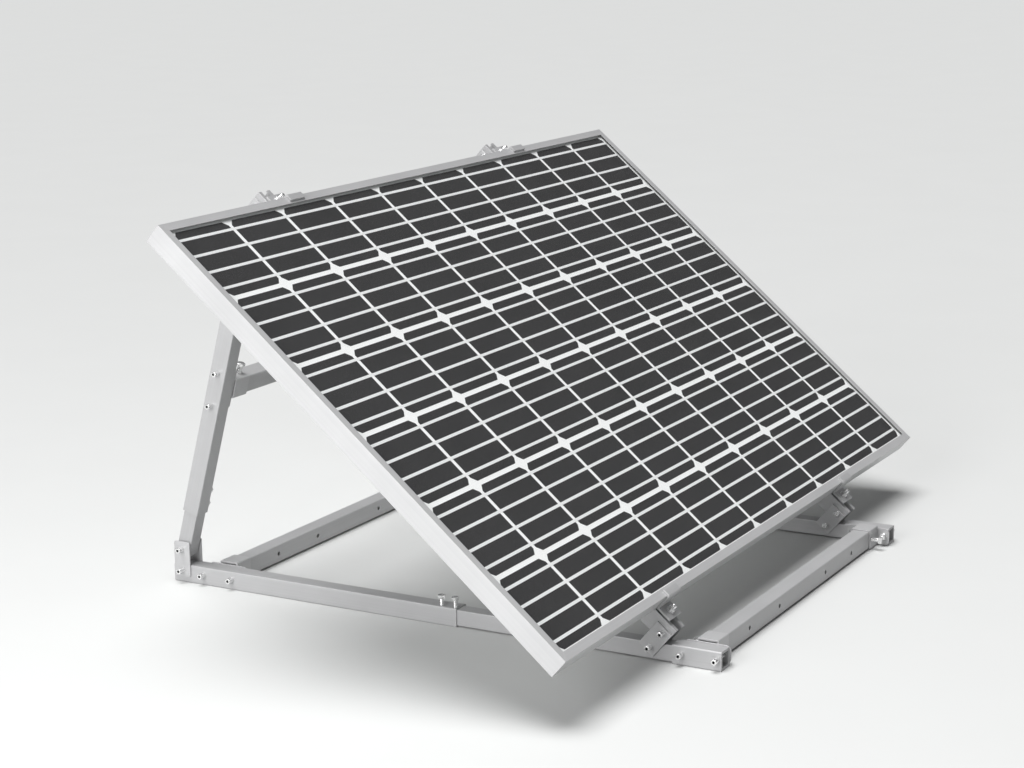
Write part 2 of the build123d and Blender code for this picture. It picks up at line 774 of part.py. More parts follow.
crossbeam_sets = base_bolts_at(front_crossbeam_y) + base_bolts_at(rear_crossbeam_y)
foot_sets = [
    through_set(-plate_face, plate_face, foot_pivot_y, z)
    for z in (foot_bolt_height, foot_pivot_height)
]
hinge_face = hinge_narrow + plate_thickness
front_sets = [through_set(-hinge_face, hinge_face, front_pivot_y, front_pivot_height)]
base_sets = crossbeam_sets + foot_sets + front_sets
save("crossbeam_bolts", *[b for s in crossbeam_sets for b in pair(left * s[0])])
save("foot_bolts", *[b for s in foot_sets for b in pair(left * s[0])])
save("front_pivot_bolts", *[b for s in front_sets for b in pair(left * s[0])])
save("base_bolt_washers", *[w for s in base_sets for w in pair(left * s[1])])
save("base_bolt_nuts", *[n for s in base_sets for n in pair(left * s[2])])

base_screws = []
for place in base_screw_positions:
    stand = Pos(frame_x - screw_offset, tube_front + place, half_tube)
    base_screws.extend(pair(stand * lock_screw(half_slide, half_tube)))
for y in (front_crossbeam_y, rear_crossbeam_y):
    turned = Pos(frame_x + screw_line, y, crossbeam_height) * Rot(-90, 0, 0) * crossbeam_screw
    base_screws.extend(both_ends(turned, y))
save("base_lock_screws", *base_screws)
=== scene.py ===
"""Looks of a framed solar module on an adjustable tilt stand."""

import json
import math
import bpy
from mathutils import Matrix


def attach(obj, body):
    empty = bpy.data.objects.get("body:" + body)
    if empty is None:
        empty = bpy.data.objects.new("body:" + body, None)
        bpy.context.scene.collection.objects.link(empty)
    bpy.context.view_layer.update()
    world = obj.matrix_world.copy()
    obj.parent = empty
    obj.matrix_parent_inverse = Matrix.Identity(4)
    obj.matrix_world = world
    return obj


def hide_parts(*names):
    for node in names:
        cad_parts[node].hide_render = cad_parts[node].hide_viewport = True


bl_info = {
    "name": "Solar module on a tilt stand",
    "version": (1, 0, 0),
    "blender": (4, 5, 0),
    "location": "View3D > Sidebar > Solar",
    "description": "Finishes, fasteners and stage for a solar module and its stand",
    "category": "Add Mesh",
}

import bmesh
import bpy
import numpy as np
from bpy.props import FloatProperty, FloatVectorProperty, PointerProperty
from mathutils import Matrix, Vector

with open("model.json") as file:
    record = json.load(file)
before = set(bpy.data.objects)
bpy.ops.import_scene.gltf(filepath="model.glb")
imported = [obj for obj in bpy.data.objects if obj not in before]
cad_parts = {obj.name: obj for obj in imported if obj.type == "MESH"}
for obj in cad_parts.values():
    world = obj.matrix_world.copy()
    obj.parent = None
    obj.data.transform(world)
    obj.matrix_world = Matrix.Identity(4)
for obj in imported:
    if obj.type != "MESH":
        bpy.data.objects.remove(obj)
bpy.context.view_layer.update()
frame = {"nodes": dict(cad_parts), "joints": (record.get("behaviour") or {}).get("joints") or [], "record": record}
nodes = frame["nodes"]

joints = {joint["name"]: joint for joint in frame["joints"]}
slope_axis = Vector(joints["upper_clamp_slide"]["axis"]).normalized()
tilt_angle = math.atan2(slope_axis.z, slope_axis.y)
leg_axis = Vector(joints["leg_extend"]["axis"]).normalized()
leg_angle = math.atan2(-leg_axis.y, leg_axis.z)
face_axis = Vector((0, -math.sin(tilt_angle), math.cos(tilt_angle)))
bodies = {}
for body_name, members in frame["record"]["behaviour"]["bodies"].items():
    for member in members:
        bodies[member] = body_name


# ---- settings ----
class ModuleSettings(bpy.types.PropertyGroup):
    """Sizes and colours of the framed module."""

    finger_pitch: FloatProperty(
        name="Finger pitch",
        description="Distance between printed grid fingers",
        default=0.002,
        unit="LENGTH",
    )
    cell_colour: FloatVectorProperty(
        name="Cell",
        description="Colour of the silicon",
        default=(0.040, 0.039, 0.040),
        size=3,
        subtype="COLOR",
    )
    film_colour: FloatVectorProperty(
        name="Film",
        description="Colour of the white film behind the cells",
        default=(0.93, 0.94, 0.935),
        size=3,
        subtype="COLOR",
    )
    ribbon_colour: FloatVectorProperty(
        name="Ribbon",
        description="Colour of the tinned ribbons",
        default=(0.92, 0.93, 0.93),
        size=3,
        subtype="COLOR",
    )
    frame_colour: FloatVectorProperty(
        name="Frame",
        description="Colour of the anodised frame",
        default=(0.50, 0.50, 0.505),
        size=3,
        subtype="COLOR",
    )
    glass_alpha: FloatProperty(
        name="Glass strength",
        description="How strongly the clear glass shows",
        default=0.06,
        min=0,
        max=1,
        subtype="FACTOR",
    )
    plastic_colour: FloatVectorProperty(
        name="Plastic",
        description="Colour of the junction box",
        default=(0.022, 0.022, 0.023),
        size=3,
        subtype="COLOR",
    )
    seal_colour: FloatVectorProperty(
        name="Seal",
        description="Colour of the sealant and the gasket",
        default=(0.62, 0.63, 0.62),
        size=3,
        subtype="COLOR",
    )
    frame_roughness: FloatProperty(
        name="Frame roughness",
        description="How matt the anodised frame is",
        default=0.38,
        min=0,
        max=1,
        subtype="FACTOR",
    )
    frame_edge: FloatProperty(
        name="Frame edge",
        description="Width of the frame's softened edges",
        default=0.0003,
        unit="LENGTH",
    )
    box_edge: FloatProperty(
        name="Box edge",
        description="Width of the junction box's softened edges",
        default=0.0007,
        unit="LENGTH",
    )


class StandSettings(bpy.types.PropertyGroup):
    """Sizes and colours of the stand."""

    tube_colour: FloatVectorProperty(
        name="Tubes",
        description="Colour of the extruded tubes",
        default=(0.41, 0.41, 0.415),
        size=3,
        subtype="COLOR",
    )
    plate_colour: FloatVectorProperty(
        name="Plates",
        description="Colour of plates, clamps and fittings",
        default=(0.45, 0.45, 0.455),
        size=3,
        subtype="COLOR",
    )
    steel_colour: FloatVectorProperty(
        name="Steel",
        description="Colour of the stainless fasteners",
        default=(0.86, 0.86, 0.86),
        size=3,
        subtype="COLOR",
    )
    streak_width: FloatProperty(
        name="Streak width",
        description="Width of the drawing streaks along a tube",
        default=0.0012,
        unit="LENGTH",
    )
    tube_roughness: FloatProperty(
        name="Tube roughness",
        description="How matt rails, tubes and crossbeams are",
        default=0.40,
        min=0,
        max=1,
        subtype="FACTOR",
    )
    plate_roughness: FloatProperty(
        name="Plate roughness",
        description="How matt plates and fittings are",
        default=0.36,
        min=0,
        max=1,
        subtype="FACTOR",
    )
    clamp_roughness: FloatProperty(
        name="Clamp roughness",
        description="How matt the end clamps are",
        default=0.34,
        min=0,
        max=1,
        subtype="FACTOR",
    )
    steel_roughness: FloatProperty(
        name="Steel roughness",
        description="How matt the fasteners are",
        default=0.26,
        min=0,
        max=1,
        subtype="FACTOR",
    )
    steel_metallic: FloatProperty(
        name="Steel metallic",
        description="How metallic the fasteners are",
        default=0.9,
        min=0,
        max=1,
        subtype="FACTOR",
    )
    plate_edge: FloatProperty(
        name="Plate edge",
        description="Width of the softened edges of plates and clamps",
        default=0.0004,
        unit="LENGTH",
    )


class StageSettings(bpy.types.PropertyGroup):
    """Camera, floor and light."""

    camera_place: FloatVectorProperty(
        name="Camera place",
        description="Where the camera stands",
        default=(-3.7866, -2.0133, 1.3058),
        size=3,
        subtype="TRANSLATION",
    )
    camera_heading: FloatProperty(
        name="Heading",
        description="Turn of the camera about the vertical",
        default=math.radians(-61.226),
        subtype="ANGLE",
    )
    camera_pitch: FloatProperty(
        name="Pitch",
        description="How far the camera looks down",
        default=math.radians(12.454),
        subtype="ANGLE",
    )
    camera_roll: FloatProperty(
        name="Roll",
        description="Turn of the camera about its own line of sight",
        default=math.radians(-0.548),
        subtype="ANGLE",
    )
    camera_lens: FloatProperty(
        name="Lens",
        description="Focal length in millimetres on a 36 mm sensor",
        default=79.24,
    )
    floor_colour: FloatVectorProperty(
        name="Floor",
        description="Colour of the floor",
        default=(0.58, 0.585, 0.58),
        size=3,
        subtype="COLOR",
    )
    floor_size: FloatProperty(
        name="Floor size",
        description="Length of the floor's side",
        default=400.0,
        unit="LENGTH",
    )
    world_colour: FloatVectorProperty(
        name="World",
        description="Colour of the light from all round",
        default=(0.97, 0.98, 1.0),
        size=3,
        subtype="COLOR",
    )
    world_strength: FloatProperty(
        name="World strength",
        description="Strength of the light from all round",
        default=0.15,
    )
    overhead_direction: FloatVectorProperty(
        name="Overhead direction",
        description="Where the overhead light shines to",
        default=(0.12, -0.1, -1),
        size=3,
        subtype="XYZ",
    )
    overhead_spread: FloatProperty(
        name="Overhead spread",
        description="How broad the overhead light is",
        default=math.radians(40),
        subtype="ANGLE",
    )
    overhead_power: FloatProperty(
        name="Overhead power",
        description="Strength of the overhead light",
        default=3.6,
    )
    key_place: FloatVectorProperty(
        name="Key place",
        description="Where the key light stands",
        default=(-4.6, 0.3, 1.6),
        size=3,
        subtype="TRANSLATION",
    )
    key_aim: FloatVectorProperty(
        name="Key aim",
        description="The point that the key light looks at",
        default=(0, 0, 0.35),
        size=3,
        subtype="TRANSLATION",
    )
    key_size: FloatProperty(
        name="Key size",
        description="Length of the key light's side",
        default=2.4,
        unit="LENGTH",
    )
    key_power: FloatProperty(
        name="Key power",
        description="Strength of the key light in watts",
        default=175,
    )


# ---- helpers for materials ----
noise_low, noise_high = 0.3, 0.7  # nearly all of a noise texture lies between these
streak_length = 1 / 0.6
streak_share, cloud_share = 0.45, 0.55


def new_material(name):
    """An empty node material with a Principled shader, and its parts."""
    material = bpy.data.materials.new(name)
    material.use_nodes = True
    tree = material.node_tree
    shader = tree.nodes["Principled BSDF"]
    return material, tree, shader


def place_texture(tree, angle=0.0, scale=(1, 1, 1)):
    """Object coordinates turned about X, so that a pattern follows a sloping piece."""
    coordinates = tree.nodes.new("ShaderNodeTexCoord")
    turn = tree.nodes.new("ShaderNodeMapping")
    turn.vector_type = "TEXTURE"
    turn.inputs["Rotation"].default_value = (angle, 0, 0)
    stretch = tree.nodes.new("ShaderNodeMapping")
    stretch.inputs["Scale"].default_value = scale
    tree.links.new(coordinates.outputs["Object"], turn.inputs["Vector"])
    tree.links.new(turn.outputs["Vector"], stretch.inputs["Vector"])
    return stretch.outputs["Vector"]


def add_noise(tree, vector, scale, detail=3.0):
    """A noise texture's grey output."""
    noise = tree.nodes.new("ShaderNodeTexNoise")
    noise.inputs["Scale"].default_value = scale
    noise.inputs["Detail"].default_value = detail
    tree.links.new(vector, noise.inputs["Vector"])
    return noise.outputs["Fac"]


def spread(tree, value, low, high):
    """A grey value spread from one number to another."""
    node = tree.nodes.new("ShaderNodeMapRange")
    node.inputs["From Min"].default_value = noise_low
    node.inputs["From Max"].default_value = noise_high
    node.inputs["To Min"].default_value = low
    node.inputs["To Max"].default_value = high
    tree.links.new(value, node.inputs["Value"])
    return node.outputs["Result"]


def tint(tree, value, colour, low, high):
    """A colour that a grey value makes darker and lighter."""
    ramp = tree.nodes.new("ShaderNodeMix")
    ramp.data_type = "RGBA"
    ramp.inputs["A"].default_value = (*[low * c for c in colour], 1)
    ramp.inputs["B"].default_value = (*[min(1.0, high * c) for c in colour], 1)
    tree.links.new(value, ramp.inputs["Factor"])
    return ramp.outputs["Result"]


def add_bump(tree, shader, value, strength, distance):
    """A bump from a grey value."""
    bump = tree.nodes.new("ShaderNodeBump")
    bump.inputs["Strength"].default_value = strength
    bump.inputs["Distance"].default_value = distance
    tree.links.new(value, bump.inputs["Height"])
    tree.links.new(bump.outputs["Normal"], shader.inputs["Normal"])


def metal(name, colour, roughness, angle=0.0, along="Y", metallic=0.2):
    """Satin extruded metal with fine streaks along one direction and faint clouding."""
    material, tree, shader = new_material(name)
    fine = 1 / bpy.context.scene.solar_stand.streak_width
    coarse = 1 / streak_length
    scale = [coarse if way == along else fine for way in "XYZ"]
    streaks = add_noise(tree, place_texture(tree, angle, scale), 1.0, 2.0)
    cloud = add_noise(tree, place_texture(tree, angle), 9.0, 4.0)
    both = tree.nodes.new("ShaderNodeMath")
    both.operation = "MULTIPLY_ADD"
    both.inputs[1].default_value = streak_share
    tree.links.new(streaks, both.inputs[0])
    scaled = tree.nodes.new("ShaderNodeMath")
    scaled.operation = "MULTIPLY"
    scaled.inputs[1].default_value = cloud_share
    tree.links.new(cloud, scaled.inputs[0])
    tree.links.new(scaled.outputs[0], both.inputs[2])
    mixed = both.outputs[0]
    clouded = tint(tree, spread(tree, mixed, 0, 1), colour, 0.93, 1.06)
    tree.links.new(clouded, shader.inputs["Base Color"])
    uneven = spread(tree, mixed, roughness - 0.05, roughness + 0.05)
    tree.links.new(uneven, shader.inputs["Roughness"])
    add_bump(tree, shader, streaks, 0.12, 0.0001)
    shader.inputs["Metallic"].default_value = metallic
    return material


def dress(node, material):
    """Gives a CAD node one material."""
    slots = nodes[node].data.materials
    slots.clear()
    slots.append(material)


def dress_all(names, material):
    """Gives several CAD nodes the same material."""
    for name in names:
        dress(name, material)


# ---- helpers for shapes ----
hexagon_half = math.pi / 6
chamfer_slope = math.tan(math.radians(30))
chamfer_start = 0.95  # of a hexagon's half width
round_steps = 24
washer_steps = 32
wide_share = 0.9  # of the largest radius: what is wider belongs to the head
below_seat = 0.001
ridge_pitch, small_ridge_pitch, small_shank = 0.00125, 0.001, 0.0035
bolt_socket, bolt_thread = 0.0025, 0.014
screw_thread_share = 0.9
flange_soft, flange_rim, flange_top = 0.0003, 0.0009, 0.0017
bar_height, bar_edge, above_bar = 0.005, 0.0005, 0.006
stud_foot, stud_thread_foot, stud_lead_in = 0.0045, 0.0095, 0.0006
flat_angle = math.radians(0.6)
edge_angle = math.radians(40)
smooth_angle, nut_smooth_angle, soft_edge_smooth_angle = 35.0, 25.0, 20.0


def islands(node):
    """Each separate solid of a CAD node, as an array of its corners."""
    shape = bmesh.new()
    shape.from_mesh(nodes[node].data)
    bmesh.ops.remove_doubles(shape, verts=shape.verts, dist=1e-6)
    left = set(shape.verts)
    found = []
    while left:
        front = [left.pop()]
        corners = []
        while front:
            corner = front.pop()
            corners.append(tuple(corner.co))
            for edge in corner.link_edges:
                other = edge.other_vert(corner)
                if other in left:
                    left.remove(other)
                    front.append(other)
        found.append(np.array(corners))
    shape.free()
    return found


def measure(corners, long_piece):
    """Centre line, ends and radius of a round solid, and which end is the wide one."""
    mean = corners.mean(axis=0)
    centre = (corners.min(axis=0) + corners.max(axis=0)) / 2 if long_piece else mean
    axes = np.linalg.eigh(np.cov((corners - mean).T))[1]
    axis = axes[:, 2 if long_piece else 0]
    along = (corners - centre) @ axis
    across = np.linalg.norm(corners - centre - np.outer(along, axis), axis=1)
    if long_piece and along[across > wide_share * across.max()].mean() < 0:
        axis, along = -axis, -along
    return Vector(centre), Vector(axis), along, across


def head_seat(along, across):
    """Where the underside of a head is, and the radius of the shank below it."""
    seat = along[across > wide_share * across.max()].min()
    return seat, across[along < seat - below_seat].max()


def on_slope(corners):
    """A solid's heights above the slope, its places along it, and its middle on it."""
    level = corners @ np.array(face_axis)
    slide = corners @ np.array(slope_axis)
    middle = Vector(((corners[:, 0].min() + corners[:, 0].max()) / 2, 0, 0))
    middle += slope_axis * float((slide.min() + slide.max()) / 2)
    return level, slide, middle


def lathe(shape, profile, steps=washer_steps, closed=False):
    """Spins a few points (radius, height) about Z into a closed shell."""
    corners = [shape.verts.new((radius, 0, height)) for radius, height in profile]
    edges = [shape.edges.new(pair) for pair in zip(corners, corners[1:])]
    if closed:
        edges.append(shape.edges.new((corners[-1], corners[0])))
    bmesh.ops.spin(
        shape,
        geom=corners + edges,
        cent=(0, 0, 0),
        axis=(0, 0, 1),
        angle=2 * math.pi,
        steps=steps,
        use_merge=True,
    )
    bmesh.ops.remove_doubles(shape, verts=shape.verts, dist=1e-7)


def ring(shape, sides, cuts, radius, height):
    """The edges of a level ring with the given number of sides, each cut into equal parts."""
    made = bmesh.ops.create_circle(shape, cap_ends=False, segments=sides, radius=radius)["verts"]
    edges = list({edge for corner in made for edge in corner.link_edges})
    if cuts > 1:
        cut = bmesh.ops.subdivide_edges(shape, edges=edges, cuts=cuts - 1)
        parts = [part for part in cut["geom"] if isinstance(part, bmesh.types.BMEdge)]
        edges = list({*edges, *parts})
    corners = list({corner for edge in edges for corner in edge.verts})
    bmesh.ops.translate(shape, verts=corners, vec=(0, 0, height))
    return edges


def corners_of(edges):
    """The corners that some edges join."""
    return list({corner for edge in edges for corner in edge.verts})


def hexagon_face(shape, half_width, level):
    """The round and the six-sided edge of a chamfered face, at the foot (0) or at the top."""
    middle = ring(shape, round_steps, 1, chamfer_start * half_width, level)
    outer = ring(shape, 6, 4, half_width / math.cos(hexagon_half), level)
    for corner in corners_of(outer):
        drop = chamfer_slope * (corner.co.xy.length - chamfer_start * half_width)
        corner.co.z += drop if level == 0 else -drop
    return middle, outer


def thread(radius, top, bottom, pitch):
    """Profile points of a thread's ridges, from top to bottom."""
    points = []
    height = top
    while height - pitch > bottom:
        points += [(radius, height - 0.1 * pitch), (radius - 0.5 * pitch, height - 0.5 * pitch)]
        height -= pitch
    return points + [(radius, height - 0.1 * pitch)]


def add_bolt(shape, head_radius, head_height, length, shank, socket, thread_length):
    """A socket-head bolt whose seat is at height 0, with its head above it."""
    chamfer = 0.07 * head_radius
    ridge = ridge_pitch if shank > small_shank else small_ridge_pitch
    start = thread_length - length
    opening = 1.25 * socket
    profile = [
        (opening, head_height),
        (head_radius - 1.6 * chamfer, head_height),
        (head_radius - 0.5 * chamfer, head_height - 0.4 * chamfer),
        (head_radius, head_height - 1.4 * chamfer),
        (head_radius, 0.6 * chamfer),
        (head_radius - 0.6 * chamfer, 0),
        (shank, 0),
        (shank, start),
        *thread(shank, start, -length + 0.8 * ridge, ridge),
        (0.72 * shank, -length),
        (0, -length),
    ]
    lathe(shape, profile, round_steps)
    rim = [e for e in shape.edges if len(e.link_faces) == 1]
    wall = ring(shape, 6, 4, socket / math.cos(hexagon_half), head_height)
    bmesh.ops.bridge_loops(shape, edges=rim + wall)
    deep = bmesh.ops.extrude_edge_only(shape, edges=wall)["geom"]
    low = [g for g in deep if isinstance(g, bmesh.types.BMVert)]
    bmesh.ops.translate(shape, verts=low, vec=(0, 0, -0.45 * head_height))
    floor = [g for g in deep if isinstance(g, bmesh.types.BMEdge)]
    bmesh.ops.edgeloop_fill(shape, edges=floor)


def add_hexagon_screw(shape, half_width, head_height, length, shank, thread_length):
    """A hexagon-head screw whose head stands on height 0, with its shank below it."""
    start = thread_length - length
    profile = [
        (shank, 0),
        (shank, start),
        *thread(shank, start, 0.8 * ridge_pitch - length, ridge_pitch),
        (0.7 * shank, -length),
        (0, -length),
    ]
    lathe(shape, profile, round_steps)
    lower = [e for e in shape.edges if len(e.link_faces) == 1]
    for level in (0, head_height):
        middle, outer = hexagon_face(shape, half_width, level)
        bmesh.ops.bridge_loops(shape, edges=middle + outer)
        if level == 0:
            bmesh.ops.bridge_loops(shape, edges=lower + middle)
            first = outer
        else:
            bmesh.ops.edgeloop_fill(shape, edges=middle)
    bmesh.ops.bridge_loops(shape, edges=first + outer)


def add_nut(shape, half_width, height, bore, flange=0.0):
    """A chamfered hexagon nut that stands on height 0, with a flange when one is given."""
    loops = []
    for level in (0, height):
        inner = ring(shape, round_steps, 1, bore, level)
        middle, outer = hexagon_face(shape, half_width, level)
        bmesh.ops.bridge_loops(shape, edges=inner + middle)
        bmesh.ops.bridge_loops(shape, edges=middle + outer)
        loops.append((inner, outer))
    bmesh.ops.bridge_loops(shape, edges=loops[0][0] + loops[1][0])
    bmesh.ops.bridge_loops(shape, edges=loops[0][1] + loops[1][1])
    if flange:
        profile = [
            (bore, 0),
            (flange - flange_soft, 0),
            (flange, flange_soft),
            (flange, flange_rim),
            (half_width, flange_top),
            (bore, flange_top),
        ]
        lathe(shape, profile, closed=True)


def add_washer(shape, inner, outer, thickness):
    """A flat ring with softened edges, from height 0 up."""
    soft = 0.15 * thickness
    profile = [
        (inner, soft),
        (inner + soft, 0),
        (outer - soft, 0),
        (outer, soft),
        (outer, thickness - soft),
        (outer - soft, thickness),
        (inner + soft, thickness),
        (inner, thickness - soft),
    ]
    lathe(shape, profile, closed=True)


def stand_up(shape, fresh, place, axis):
    """Turns what was just made from +Z to an axis and puts it in its place."""
    turn = axis.to_track_quat("Z", "X").to_matrix().to_4x4()
    bmesh.ops.transform(shape, matrix=Matrix.Translation(place) @ turn, verts=fresh)


def finish_piece(context, shape, name, node, material, sharp=smooth_angle):
    """Makes a shape an object that replaces a CAD node and rides on that node's body."""
    bmesh.ops.recalc_face_normals(shape, faces=shape.faces)
    mesh = bpy.data.meshes.new(name)
    shape.to_mesh(mesh)
    shape.free()
    mesh.shade_smooth()
    mesh.set_sharp_from_angle(angle=math.radians(sharp))
    mesh.materials.append(material)
    piece = bpy.data.objects.new(name, mesh)
    context.scene.collection.objects.link(piece)
    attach(piece, bodies[node])
    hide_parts(node)
    return piece


def soften(context, node, width, material, segments=2):
    """A copy of a CAD node whose sharp edges are rounded."""
    shape = bmesh.new()
    shape.from_mesh(nodes[node].data)
    bmesh.ops.remove_doubles(shape, verts=shape.verts, dist=2e-6)
    bmesh.ops.dissolve_limit(
        shape,
        angle_limit=flat_angle,
        verts=shape.verts,
        edges=shape.edges,
        use_dissolve_boundaries=False,
    )
    closed = [edge for edge in shape.edges if len(edge.link_faces) == 2]
    sharp = [edge for edge in closed if edge.calc_face_angle(0) > edge_angle]
    bmesh.ops.bevel(
        shape,
        geom=sharp,
        offset=width,
        offset_type="OFFSET",
        affect="EDGES",
        segments=segments,
        profile=0.5,
        clamp_overlap=False,
        material=-1,
    )
    bmesh.ops.triangulate(shape, faces=[f for f in shape.faces if len(f.verts) > 4])
    name = f"{node}_softened"
    return finish_piece(context, shape, name, node, material, soft_edge_smooth_angle)


# ---- operators ----
class SOLAR_OT_camera(bpy.types.Operator):
    """Set the camera"""

    bl_idname = "solar.camera"
    bl_label = "Camera"

    def execute(self, context):
        stage = context.scene.solar_stage
        data = bpy.data.cameras.new("camera")
        data.lens = stage.camera_lens
        data.sensor_width = 36.0
        data.clip_end = 200.0
        camera = bpy.data.objects.new("camera", data)
        context.scene.collection.objects.link(camera)
        turn = Matrix.Rotation(stage.camera_heading, 4, "Z")
        turn @= Matrix.Rotation(math.pi / 2 - stage.camera_pitch, 4, "X")
        turn @= Matrix.Rotation(stage.camera_roll, 4, "Z")
        camera.matrix_world = Matrix.Translation(stage.camera_place) @ turn
        context.scene.camera = camera
        return {"FINISHED"}


class SOLAR_OT_stage(bpy.types.Operator):
    """Make the floor and the light"""

    bl_idname = "solar.stage"
    bl_label = "Floor and light"

    def execute(self, context):
        stage = context.scene.solar_stage
        shape = bmesh.new()
        bmesh.ops.create_grid(shape, x_segments=1, y_segments=1, size=stage.floor_size / 2)
        mesh = bpy.data.meshes.new("floor")
        shape.to_mesh(mesh)
        shape.free()
        floor = bpy.data.objects.new("floor", mesh)
        context.scene.collection.objects.link(floor)
        material, tree, shader = new_material("pale floor")
        grain = add_noise(tree, place_texture(tree), 3.0)
        colour = tint(tree, grain, stage.floor_colour, 0.985, 1.015)
        tree.links.new(colour, shader.inputs["Base Color"])
        shader.inputs["Roughness"].default_value = 0.85
        mesh.materials.append(material)

        world = bpy.data.worlds.new("studio")
        context.scene.world = world
        world.use_nodes = True
        background = world.node_tree.nodes["Background"]
        background.inputs["Color"].default_value = (*stage.world_colour, 1)
        background.inputs["Strength"].default_value = stage.world_strength
        self.add_key(context, stage)
        self.add_overhead(context, stage)
        context.scene.view_settings.view_transform = "Standard"
        return {"FINISHED"}

    def add_overhead(self, context, stage):
        """One very broad overhead light, the same all over the floor."""
        data = bpy.data.lights.new("overhead light", "SUN")
        data.energy = stage.overhead_power
        data.angle = stage.overhead_spread
        light = bpy.data.objects.new("overhead light", data)
        context.scene.collection.objects.link(light)
        direction = Vector(stage.overhead_direction)
        light.rotation_euler = direction.to_track_quat("-Z", "Y").to_euler()

    def add_key(self, context, stage):
        """A soft square light beside the module."""
        data = bpy.data.lights.new("key light", "AREA")
        data.shape = "SQUARE"
        data.size = stage.key_size
        data.energy = stage.key_power
        light = bpy.data.objects.new("key light", data)
        context.scene.collection.objects.link(light)
        light.location = stage.key_place
        light.visible_camera = False
        direction = Vector(stage.key_aim) - Vector(stage.key_place)
        light.rotation_euler = direction.to_track_quat("-Z", "Y").to_euler()


class SOLAR_OT_module_frame(bpy.types.Operator):
    """Finish the module's frame"""

    bl_idname = "solar.module_frame"
    bl_label = "Module frame"

    def execute(self, context):
        settings = context.scene.solar_module
        look = (settings.frame_colour, settings.frame_roughness, tilt_angle)
        long_way = metal("anodised frame, long", *look, "X")
        short_way = metal("anodised frame, short", *look, "Y")
        for node, material in (
            ("frame_upper_member", long_way),
            ("frame_lower_member", long_way),
            ("frame_left_member", short_way),
            ("frame_right_member", short_way),
        ):
            soften(context, node, settings.frame_edge, material)
        dress("frame_corner_keys", long_way)
        return {"FINISHED"}


class SOLAR_OT_laminate(bpy.types.Operator):
    """Finish the glass, films, cells and ribbons"""

    bl_idname = "solar.laminate"
    bl_label = "Laminate"

    def execute(self, context):
        settings = context.scene.solar_module
        dress("front_glass", self.glass(settings))
        dress("front_encapsulant", self.clear_film(settings))
        dress("solar_cells", self.silicon(settings))
        dress_all(("busbar_ribbons", "string_connectors"), self.ribbon(settings))
        dress_all(("rear_encapsulant", "backsheet"), self.white_film(settings))
        return {"FINISHED"}

    def glass(self, settings):
        """Low-iron glass: nearly all of it lets light through."""
        material, tree, shader = new_material("solar glass")
        shader.inputs["Base Color"].default_value = (0.02, 0.03, 0.03, 1)
        shader.inputs["Roughness"].default_value = 0.12
        shader.inputs["Alpha"].default_value = settings.glass_alpha
        texture = add_noise(tree, place_texture(tree, tilt_angle), 600.0, 1.0)
        add_bump(tree, shader, texture, 0.05, 0.0001)
        return material

    def clear_film(self, settings):
        """The clear film under the glass."""
        material, tree, shader = new_material("clear film")
        shader.inputs["Base Color"].default_value = (0.9, 0.9, 0.88, 1)
        shader.inputs["Roughness"].default_value = 0.3
        shader.inputs["Alpha"].default_value = 0.0
        return material

    def silicon(self, settings):
        """Dark wafers with fine printed fingers across the ribbons and faint clouding."""
        material, tree, shader = new_material("silicon")
        vector = place_texture(tree, tilt_angle)
        split = tree.nodes.new("ShaderNodeSeparateXYZ")
        tree.links.new(vector, split.inputs["Vector"])
        wave = tree.nodes.new("ShaderNodeMath")
        wave.operation = "PINGPONG"
        wave.inputs[1].default_value = settings.finger_pitch / 2
        tree.links.new(split.outputs["X"], wave.inputs[0])
        line = tree.nodes.new("ShaderNodeMath")
        line.operation = "LESS_THAN"
        line.inputs[1].default_value = settings.finger_pitch * 0.04
        tree.links.new(wave.outputs[0], line.inputs[0])
        cloud = add_noise(tree, place_texture(tree, tilt_angle), 5.0, 2.0)
        base = tint(tree, spread(tree, cloud, 0, 1), settings.cell_colour, 0.92, 1.08)
        mix = tree.nodes.new("ShaderNodeMix")
        mix.data_type = "RGBA"
        mix.inputs["B"].default_value = (0.12, 0.12, 0.12, 1)
        tree.links.new(line.outputs[0], mix.inputs["Factor"])
        tree.links.new(base, mix.inputs["A"])
        tree.links.new(mix.outputs["Result"], shader.inputs["Base Color"])
        shader.inputs["Roughness"].default_value = 0.55
        shader.inputs["Specular IOR Level"].default_value = 0.2
        return material

    def ribbon(self, settings):
        """Tinned copper ribbon."""
        material, tree, shader = new_material("tinned ribbon")
        grain = add_noise(tree, place_texture(tree, tilt_angle, (4, 900, 1)), 1.0, 2.0)
        colour = tint(tree, grain, settings.ribbon_colour, 0.95, 1.05)
        tree.links.new(colour, shader.inputs["Base Color"])
        shader.inputs["Metallic"].default_value = 0.15
        shader.inputs["Roughness"].default_value = 0.5
        return material

    def white_film(self, settings):
        """Matt white film."""
        material, tree, shader = new_material("white film")
        grain = add_noise(tree, place_texture(tree, tilt_angle), 140.0)
        colour = tint(tree, grain, settings.film_colour, 0.98, 1.02)
        tree.links.new(colour, shader.inputs["Base Color"])
        shader.inputs["Roughness"].default_value = 0.7
        return material


